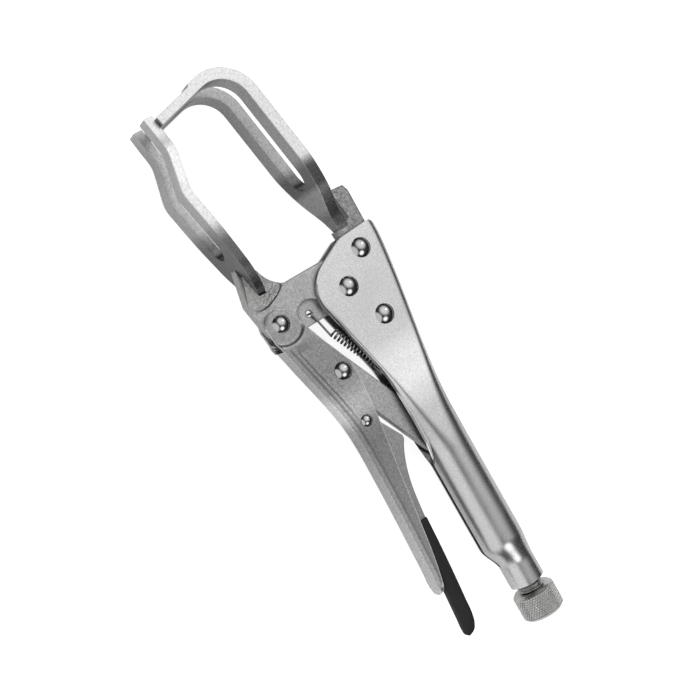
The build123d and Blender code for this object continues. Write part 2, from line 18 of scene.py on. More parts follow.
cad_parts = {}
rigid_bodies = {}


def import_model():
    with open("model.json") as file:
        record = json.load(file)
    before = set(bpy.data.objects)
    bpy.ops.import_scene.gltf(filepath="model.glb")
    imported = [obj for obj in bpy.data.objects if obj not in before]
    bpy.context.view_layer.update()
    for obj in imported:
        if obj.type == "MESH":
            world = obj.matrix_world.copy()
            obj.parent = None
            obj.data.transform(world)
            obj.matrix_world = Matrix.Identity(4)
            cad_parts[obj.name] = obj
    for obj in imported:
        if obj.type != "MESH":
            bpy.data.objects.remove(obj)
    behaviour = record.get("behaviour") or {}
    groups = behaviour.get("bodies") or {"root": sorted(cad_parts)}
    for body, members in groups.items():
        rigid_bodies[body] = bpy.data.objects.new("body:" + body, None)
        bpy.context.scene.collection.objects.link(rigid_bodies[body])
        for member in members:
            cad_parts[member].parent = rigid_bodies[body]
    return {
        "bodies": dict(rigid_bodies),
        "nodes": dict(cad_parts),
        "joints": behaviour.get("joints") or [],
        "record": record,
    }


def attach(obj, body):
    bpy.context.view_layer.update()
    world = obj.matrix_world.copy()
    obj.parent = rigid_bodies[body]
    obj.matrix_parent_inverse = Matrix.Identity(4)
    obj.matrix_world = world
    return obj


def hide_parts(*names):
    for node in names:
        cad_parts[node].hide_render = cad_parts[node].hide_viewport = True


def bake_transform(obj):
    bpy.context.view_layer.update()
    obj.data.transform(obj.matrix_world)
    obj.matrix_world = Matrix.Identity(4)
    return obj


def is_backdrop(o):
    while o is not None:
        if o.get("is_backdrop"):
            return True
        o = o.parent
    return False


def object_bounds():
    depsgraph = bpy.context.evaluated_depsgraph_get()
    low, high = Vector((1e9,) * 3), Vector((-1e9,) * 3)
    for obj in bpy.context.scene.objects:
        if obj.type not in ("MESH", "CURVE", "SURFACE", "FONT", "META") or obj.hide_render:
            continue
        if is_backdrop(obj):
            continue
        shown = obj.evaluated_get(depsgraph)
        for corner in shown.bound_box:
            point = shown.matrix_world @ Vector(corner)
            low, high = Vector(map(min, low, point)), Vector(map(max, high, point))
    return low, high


LOG = logging.getLogger("locking_clamp")

# The frame's origin, in millimetres from the handle's mouth and from the screw's axis.
REACH_X = 251.5
REACH_Y = 48.0

# Angle from which a folded sheet's edges stay sharp, in degrees.
SHEET_CREASE = 40.0

Colour = Tuple[float, float, float]
Point = Tuple[float, float, float]
Pair = Tuple[float, float]
Line = Tuple[Pair, ...]
Array = np.ndarray
Socket = bpy.types.NodeSocket
Value = Union[Socket, float, Sequence[float], None]


class Slot(Enum):
    """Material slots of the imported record, and variants that share one of them."""

    HANDLE = "handle_steel"
    FORGED = "forged_steel"
    FORK = "fork_steel"
    WELD = "weld_metal"
    RIVET = "rivet_steel"
    SPRING = "spring_steel"
    SLEEVE = "dipped_grip"
    SCREW = "screw_steel"
    KNOB = "knurled_steel"
    # The lower handle's finish, with painted shade along the screw, painted light on its web and painted
    # highlights on its edges.
    LOWER = "painted_shade_lower_handle_steel"
    LOWER_FORK = "lower_fork_steel"
    ROOT = "rough_forged_steel"
    LEVER = "dark_lever_steel"

    @property
    def recorded(self) -> str:
        """The record's name for the slot, which some finishes share."""
        shared = {Slot.KNOB: Slot.SCREW, Slot.LOWER: Slot.HANDLE, Slot.LEVER: Slot.HANDLE,
                  Slot.LOWER_FORK: Slot.FORK, Slot.ROOT: Slot.FORGED}
        return shared.get(self, self).value


@dataclass(frozen=True)
class NodeBuilder:
    """Adds shader nodes to a tree and links them.

    Attributes:
        tree: The node tree to fill.
    """

    tree: bpy.types.NodeTree

    def feed(self, target: Socket, value: Value) -> None:
        """Links an output to an input, or sets the input's own value.

        Args:
            target: The input socket.
            value: An output socket, a plain value, or nothing to leave the input alone.
        """
        if isinstance(value, Socket):
            self.tree.links.new(value, target)
        elif value is not None:
            target.default_value = value

    def add(self, kind: str, inputs: Optional[Dict[Union[str, int], Value]] = None,
            **settings: object) -> bpy.types.Node:
        """Adds one node.

        Args:
            kind: Blender's type name of the node.
            inputs: What feeds its inputs, by their name or number.
            **settings: Attributes to set on the node first.

        Returns:
            The new node.
        """
        node = self.tree.nodes.new(kind)
        for name, value in settings.items():
            setattr(node, name, value)
        for name, value in (inputs or {}).items():
            self.feed(node.inputs[name], value)
        return node

    def math(self, operation: str, first: Value, second: Value = None) -> Socket:
        """Adds a maths node, with nothing for the second value of a one-sided operation."""
        return self.add("ShaderNodeMath", {0: first, 1: second}, operation=operation).outputs[0]

    def noise(self, vector: Value, scale: Value, detail: float, distortion: float = 0.0) -> Socket:
        """Adds a noise texture and returns its factor."""
        inputs = {"Vector": vector, "Scale": scale, "Detail": detail, "Distortion": distortion}
        return self.add("ShaderNodeTexNoise", inputs).outputs[0]

    def ramp(self, factor: Value, low: float, high: float, to_low: float = 0.0, to_high: float = 1.0,
             curve: str = "LINEAR") -> Socket:
        """Maps the range from low to high to that from to_low to to_high, clamped at both ends."""
        inputs = {"Value": factor, "From Min": low, "From Max": high, "To Min": to_low, "To Max": to_high}
        return self.add("ShaderNodeMapRange", inputs, interpolation_type=curve).outputs["Result"]

    def dot(self, first: Value, second: Value) -> Socket:
        """Multiplies two vectors into one number."""
        return self.add("ShaderNodeVectorMath", {0: first, 1: second}, operation="DOT_PRODUCT").outputs["Value"]

    def along_screw(self, x: Value, points: Line, scale: float = 1.0) -> Socket:
        """Reads a value off a line of points along the screw.

        Args:
            x: Place along the screw, in the frame's metres.
            points: Places in millimetres from the handle's mouth, and the value at each.
            scale: What the ramp's full white stands for.

        Returns:
            The value's socket.
        """
        first, last = points[0][0], points[-1][0]
        at = self.ramp(x, (first - REACH_X) / 1000.0, (last - REACH_X) / 1000.0)
        ramp = self.add("ShaderNodeValToRGB", {"Fac": at})
        stops = ramp.color_ramp.elements
        while len(stops) < len(points):
            stops.new(0.5)
        for stop, (place, value) in zip(stops, points):
            stop.position = (place - first) / (last - first)
            stop.color = (value / scale, value / scale, value / scale, 1.0)
        return self.math("MULTIPLY", ramp.outputs["Color"], scale)


class EffectGroup:
    """A shared node group whose outputs vary over a surface."""

    def __init__(self, name: str, inputs: Sequence[Tuple[str, float]], outputs: Sequence[str]) -> None:
        """Creates the group and its sockets.

        Args:
            name: Name of the group.
            inputs: Name and default of each float input. A vector input comes first by itself.
            outputs: Name of each float output.
        """
        self.tree = bpy.data.node_groups.new(name, "ShaderNodeTree")
        self.tree.interface.new_socket("Vector", in_out="INPUT", socket_type="NodeSocketVector")
        for label, value in inputs:
            socket = self.tree.interface.new_socket(label, in_out="INPUT", socket_type="NodeSocketFloat")
            socket.default_value = value
        for label in outputs:
            self.tree.interface.new_socket(label, in_out="OUTPUT", socket_type="NodeSocketFloat")
        self.build = NodeBuilder(self.tree)
        self.given = self.build.add("NodeGroupInput").outputs

    def give(self, **values: Socket) -> bpy.types.NodeTree:
        """Links values to the group's outputs of those names, and returns the finished tree."""
        self.build.add("NodeGroupOutput", values)
        return self.tree


def pearl_grain_group() -> bpy.types.NodeTree:
    """Builds the fine shot-blasted grain under a satin plate.

    Returns:
        A group with a Height output for bumps and a Tone output for brightness.
    """
    group = EffectGroup("pearl_grain", [("Fine", 2600.0), ("Coarse", 420.0)], ["Height", "Tone"])
    build, given = group.build, group.given
    fine = build.math("MULTIPLY", build.noise(given["Vector"], given["Fine"], 3.0), 0.55)
    coarse = build.math("MULTIPLY", build.noise(given["Vector"], given["Coarse"], 4.0), 0.45)
    mixed = build.math("ADD", fine, coarse)
    return group.give(Height=mixed, Tone=build.ramp(mixed, 0.36, 0.64))


def handling_group() -> bpy.types.NodeTree:
    """Builds the broad smudges left by handling.

    Returns:
        A group with a Smudge output, from 0 to 1.
    """
    group = EffectGroup("handling", [("Scale", 60.0)], ["Smudge"])
    broad = group.build.noise(group.given["Vector"], group.given["Scale"], 5.0, 0.6)
    return group.give(Smudge=group.build.ramp(broad, 0.35, 0.7))


def crevice_shade_group() -> bpy.types.NodeTree:
    """Builds the painted shade that darkens the colour where surfaces meet.

    Returns:
        A group with a single output, 1 in the open and 0 deep in a corner, where the painted shade is darkest.
    """
    group = EffectGroup("crevice_shade", [("Reach", 0.003)], ["Clean"])
    # Ambient occlusion paints shade into the colour where surfaces meet.
    shade = group.build.add("ShaderNodeAmbientOcclusion", {"Distance": group.given["Reach"]}, samples=6)
    return group.give(Clean=group.build.ramp(shade.outputs["AO"], 0.25, 0.85))


@dataclass(frozen=True)
class Effects:
    """The node groups that every finish shares, each built once."""

    grain: bpy.types.NodeTree = field(default_factory=pearl_grain_group)
    handling: bpy.types.NodeTree = field(default_factory=handling_group)
    # Painted shade where surfaces meet.
    crevice_shade: bpy.types.NodeTree = field(default_factory=crevice_shade_group)


@dataclass(frozen=True)
class Grain:
    """Fine relief of a surface.

    Attributes:
        fine: Fine grain, cycles per metre.
        coarse: Coarse grain, cycles per metre.
        height: Height of the grain in metres.
    """

    fine: float
    coarse: float
    height: float


@dataclass(frozen=True)
class Finish:
    """A plated or bare metal, or a dipped plastic.

    Attributes:
        slot: Slot that it covers.
        tone: Its colour at its lightest.
        roughness: Middle roughness.
        spread: How far the grain moves the roughness.
        grain: Its fine relief.
        dark: How far the grain's hollows darken it.
        smudge: How far smudges roughen it.
        shade_depth: How dark the painted shade in crevices is, from 0 to 1.
        shading_bands: Places along the screw in millimetres and the share of the tone there, painted shade below 1
            and painted light above 1.
        rim: Places along the screw and the half width there, in millimetres, where the sides begin.
        face: Share of the tone between the sides, painted shade on the forks' throats and painted light on the
            lower handle's web.
        edge: Radius that edges are softened by, in metres.
        edge_highlight: Times the tone that the softened edges reach, a painted highlight along them.
        metallic: 1 for a metal, 0 for a plastic.
    """

    slot: Slot
    tone: Colour
    roughness: float
    spread: float
    grain: Grain
    dark: float
    smudge: float = 0.08
    shade_depth: float = 0.55
    shading_bands: Line = ()
    rim: Line = ()
    face: float = 1.0
    edge: float = 0.0
    edge_highlight: float = 1.0
    metallic: float = 1.0

    def left(self, build: NodeBuilder, place: Value, unshaded: Value, soft: Value) -> Socket:
        """Works out how much of the tone is left, as painted light and shade.

        Painted shade in crevices, painted shade between the forks' sides, painted light on the lower handle's web
        and painted light and shade in bands along the screw scale it, and painted highlights brighten the softened
        edges.

        Args:
            build: Builder of the material's tree.
            place: Object coordinates.
            unshaded: How open the place is, which sets the painted crevice shade.
            soft: The softened normal, or nothing.

        Returns:
            The share's socket.
        """
        # Painted shade in crevices.
        left = build.ramp(unshaded, 0.0, 1.0, 1.0 - self.shade_depth, 1.0)
        split = build.add("ShaderNodeSeparateXYZ", {0: place}).outputs
        # Painted shade between the forks' sides, painted light between the lower handle's.
        if self.rim:
            line = build.math("MULTIPLY", build.along_screw(split["X"], self.rim, 20.0), 0.001)
            past = build.math("SUBTRACT", build.math("ABSOLUTE", split["Z"]), line)
            left = build.math("MULTIPLY", left, build.ramp(past, -0.0002, 0.0, self.face, 1.0))
        # Painted light and shade in bands along the screw.
        if self.shading_bands:
            left = build.math("MULTIPLY", left, build.along_screw(split["X"], self.shading_bands))
        # Painted highlights on the softened edges.
        if self.edge_highlight > 1.0:
            turn = build.dot(soft, build.add("ShaderNodeNewGeometry").outputs["Normal"])
            left = build.math("MULTIPLY", left, build.ramp(turn, 0.86, 0.995, self.edge_highlight, 1.0))
        return left

    def make(self, effects: Effects) -> bpy.types.Material:
        """Builds the material.

        Args:
            effects: The shared node groups.

        Returns:
            The new material.
        """
        material = bpy.data.materials.new(self.slot.value)
        material.use_nodes = True
        build = NodeBuilder(material.node_tree)
        shader = material.node_tree.nodes["Principled BSDF"].inputs
        place = build.add("ShaderNodeTexCoord").outputs["Object"]
        inputs = {"Vector": place, "Fine": self.grain.fine, "Coarse": self.grain.coarse}
        grain = build.add("ShaderNodeGroup", inputs, node_tree=effects.grain).outputs
        smudge = build.add("ShaderNodeGroup", {"Vector": place}, node_tree=effects.handling).outputs["Smudge"]
        # Painted shade where surfaces meet, from ambient occlusion.
        unshaded = build.add("ShaderNodeGroup", node_tree=effects.crevice_shade).outputs["Clean"]
        shine = build.ramp(grain["Tone"], 0.0, 1.0, self.roughness + self.spread, self.roughness - self.spread)
        build.feed(shader["Roughness"], build.math("ADD", shine, build.math("MULTIPLY", smudge, self.smudge)))
        soft = None
        if self.edge > 0.0:
            soft = build.add("ShaderNodeBevel", {"Radius": self.edge}, samples=4).outputs["Normal"]
        hollow = [c * (1.0 - self.dark) for c in self.tone]
        colours = {"Factor": grain["Tone"], 6: (*hollow, 1.0), 7: (*self.tone, 1.0)}
        mixed = build.add("ShaderNodeMix", colours, data_type="RGBA").outputs[2]
        shaded = {0: mixed, "Scale": self.left(build, place, unshaded, soft)}
        build.feed(shader["Base Color"], build.add("ShaderNodeVectorMath", shaded, operation="SCALE").outputs[0])
        relief = {"Distance": self.grain.height, "Height": grain["Height"], "Normal": soft}
        build.feed(shader["Normal"], build.add("ShaderNodeBump", relief).outputs["Normal"])
        shader["Metallic"].default_value = self.metallic
        return material


# Painted light and shade along the screw: below 1 darkens the tone, above 1 lightens it.
HANDLE_SHADING: Line = (
    (-10.0, 1.0), (70.0, 0.98), (80.0, 0.86), (91.0, 0.80), (98.0, 0.94), (106.0, 1.12), (118.0, 1.14),
    (130.0, 1.0), (150.0, 0.95), (180.0, 0.97))
LOWER_SHADING: Line = (
    (15.0, 0.72), (45.0, 0.66), (70.0, 0.56), (92.0, 0.44), (99.0, 0.50), (105.0, 0.90), (112.0, 0.94),
    (119.0, 0.62), (128.0, 0.52), (145.0, 0.60), (165.0, 0.62))
FORK_SHADING: Line = (
    (172.0, 0.8), (184.0, 0.6), (188.0, 0.95), (196.0, 0.95), (199.0, 0.34), (207.0, 0.36), (212.0, 0.95),
    (240.0, 0.9), (262.0, 1.0))
LOWER_FORK_SHADING: Line = (
    (168.0, 0.7), (178.0, 0.30), (197.0, 0.32), (202.0, 0.6), (206.0, 1.0), (240.0, 1.0), (262.0, 1.0))
# Half widths within which the forks get painted shade and the lower handle painted light.
LOWER_RIM: Line = ((18.0, 5.6), (144.0, 5.6))
FORK_RIM: Line = (
    (177.3, 3.0), (184.5, 5.9), (195.0, 13.1), (204.5, 17.1), (213.0, 18.7), (262.0, 18.7))
LOWER_FORK_RIM: Line = (
    (169.6, 3.5), (173.0, 7.7), (178.7, 11.5), (184.0, 13.7), (191.0, 15.0), (198.0, 16.1), (208.0, 16.7),
    (258.0, 15.1))
BAR_GRAIN = Grain(2600.0, 900.0, 0.00006)


def grey(level: float) -> Colour:
    """A neutral grey."""
    return level, level, level


FINISHES = (
    # Painted light and shade along the fixed handle.
    Finish(Slot.HANDLE, grey(0.80), 0.26, 0.05, Grain(3600.0, 1300.0, 0.00001), 0.26, shading_bands=HANDLE_SHADING),
    # Painted shade along the lower handle, painted light on its web and painted highlights on its edges.
    Finish(Slot.LOWER, grey(0.80), 0.27, 0.05, Grain(3000.0, 1100.0, 0.00002), 0.50, edge=0.0008,
           edge_highlight=3.2, face=1.62, rim=LOWER_RIM, shading_bands=LOWER_SHADING),
    # Painted highlights on the lever's edges.
    Finish(Slot.LEVER, grey(0.46), 0.30, 0.06, Grain(3000.0, 1100.0, 0.00003), 0.40, edge=0.0008, edge_highlight=3.0),
    Finish(Slot.FORGED, grey(0.64), 0.34, 0.08, Grain(3000.0, 1100.0, 0.00020), 0.45, edge=0.0012),
    # Deeper painted shade where surfaces meet.
    Finish(Slot.ROOT, grey(0.52), 0.38, 0.12, Grain(2200.0, 800.0, 0.00035), 0.65, shade_depth=0.75, edge=0.0014),
    # Painted shade between the upper fork's tines and along the screw.
    Finish(Slot.FORK, grey(0.88), 0.24, 0.06, BAR_GRAIN, 0.30, edge=0.0004, face=0.55, rim=FORK_RIM,
           shading_bands=FORK_SHADING),
    # A lighter copy of the fork's finish, painted light on the lower fork's near faces, with painted shade between
    # its tines and along the screw.
    Finish(Slot.LOWER_FORK, grey(0.94), 0.24, 0.06, BAR_GRAIN, 0.30, edge=0.0004, face=0.60,
           rim=LOWER_FORK_RIM, shading_bands=LOWER_FORK_SHADING),
    Finish(Slot.WELD, (0.62, 0.62, 0.61), 0.36, 0.10, Grain(2200.0, 800.0, 0.0004), 0.45),
    Finish(Slot.RIVET, grey(0.55), 0.09, 0.02, Grain(1500.0, 300.0, 0.00001), 0.06),
    Finish(Slot.SPRING, grey(0.45), 0.30, 0.05, Grain(1500.0, 300.0, 0.00001), 0.3),
    Finish(Slot.SCREW, (0.60, 0.60, 0.59), 0.28, 0.05, Grain(2400.0, 900.0, 0.00003), 0.25),
    Finish(Slot.KNOB, (0.74, 0.74, 0.73), 0.24, 0.05, Grain(2600.0, 900.0, 0.00003), 0.2),
    Finish(Slot.SLEEVE, (0.0156, 0.0156, 0.0169), 0.56, 0.0, Grain(1500.0, 300.0, 0.00010), 0.423,
           smudge=0.16, shade_depth=0.0, edge=0.0012, metallic=0.0),
)


@dataclass
class Palette:
    """All the clamp's materials, by slot.

    Attributes:
        materials: The material of each slot.
    """

    materials: Dict[Slot, bpy.types.Material]

    def dress(self, obj: bpy.types.Object, slot: Slot) -> None:
        """Gives a piece the finish of a slot."""
        obj.data.materials.clear()
        obj.data.materials.append(self.materials[slot])

    def dress_frame(self, frame: dict) -> None:
        """Gives every CAD node the finish of its slot in the record, or a variant of it.
        """
        slots = {s["node"]: Slot(s["material_slot"]) for s in frame["record"]["subparts"]}
        slots["movable_jaw_fork"] = Slot.LOWER_FORK
        slots["release_lever"] = Slot.LEVER
        slots["fixed_jaw_root"] = Slot.ROOT
        for name, obj in frame["nodes"].items():
            self.dress(obj, slots[name])


def at_handle(x_mm: Array, y_mm: Array, z_mm: Array) -> Array:
    """Turns millimetres along and across the screw into the frame's metres.

    Args:
        x_mm: Distance along the screw from the handle's mouth towards the jaws.
        y_mm: Distance from the screw's axis towards the lower handle.
        z_mm: Distance from the clamp's mid-plane.

    Returns:
        Points with their last axis of length 3.
    """
    x_mm, y_mm, z_mm = np.broadcast_arrays(x_mm, y_mm, z_mm)
    return np.stack((x_mm - REACH_X, y_mm - REACH_Y, z_mm), axis=-1) / 1000.0


@dataclass(frozen=True)
class Skin:
    """One closed surface.

    Attributes:
        points: Vertices by 3, in metres.
        quads: Vertex numbers of its four-sided faces.
        fans: Vertex numbers of its triangles.
    """

    points: Array
    quads: Array
    fans: Array = field(default_factory=lambda: np.zeros((0, 3), dtype=int))

    @staticmethod
    def tube(rings: Array) -> "Skin":
        """Joins rings of points into a closed skin with a fan at each end.

        Quad (i, j) joins ring i to ring i + 1 between neighbours j and j + 1, taken round the ring.
        Each end closes on a point at the middle of its ring.

        Args:
            rings: Rings by points by 3, in metres.

        Returns:
            The skin.
        """
        count, around = rings.shape[:2]
        index = np.arange(count * around).reshape(count, around)
        here, there = index[:-1], index[1:]
        quads = np.stack((here, np.roll(here, -1, axis=1), np.roll(there, -1, axis=1), there), axis=-1)
        start, end = index[0], index[-1]
        fans = [np.stack((np.full(around, index.size), np.roll(start, -1), start), axis=-1),
                np.stack((np.full(around, index.size + 1), end, np.roll(end, -1)), axis=-1)]
        points = np.concatenate((rings.reshape(-1, 3), rings[[0, -1]].mean(axis=1)))
        return Skin(points, quads.reshape(-1, 4), np.concatenate(fans))

    @staticmethod
    def sheet(outer: Array, inner: Array) -> "Skin":
        """Joins an outer and an inner grid into one skin that is closed round its four edges.

        Args:
            outer: Sections by steps by 3, in metres.
            inner: The same on the sheet's other side.

        Returns:
            The skin.
        """
        out = np.arange(outer[..., 0].size).reshape(outer.shape[:2])
        inn = out + out.size
        pairs = ((out[1:], out[:-1]), (inn[:-1], inn[1:]), (out[:, 0], inn[:, 0]),
                 (inn[:, -1], out[:, -1]), (inn[0], out[0]), (out[-1], inn[-1]))
        strips = [np.stack((a[..., :-1], a[..., 1:], b[..., 1:], b[..., :-1]), axis=-1).reshape(-1, 4)
                  for a, b in pairs]
        return Skin(np.concatenate((outer.reshape(-1, 3), inner.reshape(-1, 3))), np.concatenate(strips))

    def faces(self, offset: int) -> List[List[int]]:
        """Numbers the faces from an offset, turned outwards by the sign of the volume they enclose.

        The volume's sign is that of the sum of a . (b x c + c x d) over the faces, seen from the
        middle. A triangle counts its last corner twice.

        Args:
            offset: Number of the skin's first vertex.

        Returns:
            Vertex numbers of each face.
        """
        arms = (self.points - self.points.mean(axis=0))[np.concatenate((self.quads, self.fans[:, (0, 1, 2, 2)]))]
        a, b, c, d = (arms[:, k] for k in range(4))
        step = 1 if np.einsum("ij,ij->", a, np.cross(b, c) + np.cross(c, d)) >= 0.0 else -1
        return (self.quads[:, ::step] + offset).tolist() + (self.fans[:, ::step] + offset).tolist()


@dataclass(frozen=True)
class Maker:
    """Turns worked-out surfaces into pieces that ride the CAD bodies."""

    palette: Palette

    def piece(self, name: str, skins: Sequence[Skin], slot: Slot, smooth: bool = True,
              crease_deg: float = 0.0) -> bpy.types.Object:
        """Puts one piece into the scene.

        Args:
            name: Name of the piece.
            skins: The closed surfaces that it is made of.
            slot: The finish it takes.
            smooth: Whether faces are shaded smooth.
            crease_deg: Angle from which an edge stays sharp, or 0 for none.

        Returns:
            The new object, at the origin.
        """
        faces, count = [], 0
        for skin in skins:
            faces += skin.faces(count)
            count += len(skin.points)
        mesh = bpy.data.meshes.new(name)
        mesh.from_pydata(np.concatenate([skin.points for skin in skins]).tolist(), [], faces)
        mesh.polygons.foreach_set("use_smooth", np.full(len(faces), smooth))
        if crease_deg > 0.0:
            mesh.set_sharp_from_angle(angle=math.radians(crease_deg))
        mesh.update()
        obj = bpy.data.objects.new(name, mesh)
        bpy.context.collection.objects.link(obj)
        self.palette.dress(obj, slot)
        LOG.info("%s: %d faces", name, len(faces))
        return obj


def eased(t: Array) -> Array:
    """Rises smoothly from 0 to 1, as 3 t squared less 2 t cubed, and stays flat outside."""
    t = np.clip(t, 0.0, 1.0)
    return t * t * (3.0 - 2.0 * t)


def step(x: Array, ends: Pair) -> Array:
    """Rises smoothly from 0 at the first end to 1 at the second, which may lie on either side."""
    return eased((x - ends[0]) / (ends[1] - ends[0]))


def broken(x: Array, points: Sequence[Pair]) -> Array:
    """Reads a broken line of places and values, which runs on level past its ends."""
    at, value = zip(*points)
    return np.interp(x, at, value)


def arc(middle: Pair, radius: float, start_deg: float, end_deg: float, count: int) -> Array:
    """Gives points on an arc in the clamp's plane, count by 2."""
    angle = np.radians(np.linspace(start_deg, end_deg, count))
    return np.stack((middle[0] + radius * np.cos(angle), middle[1] + radius * np.sin(angle)), axis=-1)


def stretches(ends: Sequence[float], counts: Sequence[int]) -> Array:
    """Strings evenly spaced stretches together, each of so many points with both its ends."""
    runs = [np.linspace(a, b, n)[:-1] for a, b, n in zip(ends, ends[1:], counts)]
    return np.concatenate((*runs, ends[-1:]))


def flowing(x: Array, points: Sequence[Pair]) -> Array:
    """Runs a smooth curve through points.

    Each span is a cubic whose end slopes are the central differences of the points.

    Args:
        x: Where the curve is read.
        points: Places and heights, in either order.

    Returns:
        The curve's height.
    """
    at, height = np.array(sorted(points)).T
    slope = np.gradient(height, at)
    i = np.clip(np.searchsorted(at, x) - 1, 0, len(at) - 2)
    span = at[i + 1] - at[i]
    t = np.clip((x - at[i]) / span, 0.0, 1.0)
    swing = span * t * (1.0 - t) * ((1.0 - t) * slope[i] - t * slope[i + 1])
    return height[i] + eased(t) * (height[i + 1] - height[i]) + swing


def paths(s: Array, knots: Sequence[float], points: Line) -> Array:
    """Runs a smooth path through points of the clamp's plane, one at each knot, and reads it at s."""
    return np.stack([flowing(s, list(zip(knots, values))) for values in zip(*points)], axis=-1)


def mirrored(half: Array, sign: float) -> Array:
    """Runs each row on past its last value as its own mirror image, times the sign."""
    return np.concatenate((half, sign * half[:, -2::-1]), axis=1)


def quarter(past: Array, radius: float) -> Array:
    """Gives the height of a circle's arc past its top, which is level before it and 0 from the radius on."""
    return np.sqrt(np.maximum(radius ** 2 - np.maximum(past, 0.0) ** 2, 0.0))


def both_sides(x: Array, y: Array, outer: Array, inner: Array) -> List[Skin]:
    """Makes two skins of a grid, from inner to outer on each side of the mid-plane."""
    return [Skin.sheet(at_handle(x, y, side * outer), at_handle(x, y, side * inner)) for side in (1.0, -1.0)]


def triangle(t: Array) -> Array:
    """Swings evenly from 1 to 0 and back, once for each unit of t."""
    return np.abs((t % 1.0) - 0.5) * 2.0


def circle(count: int) -> Array:
    """Gives evenly spaced angles round a circle, as one row."""
    return np.linspace(0.0, 2.0 * np.pi, count, endpoint=False)[None, :]


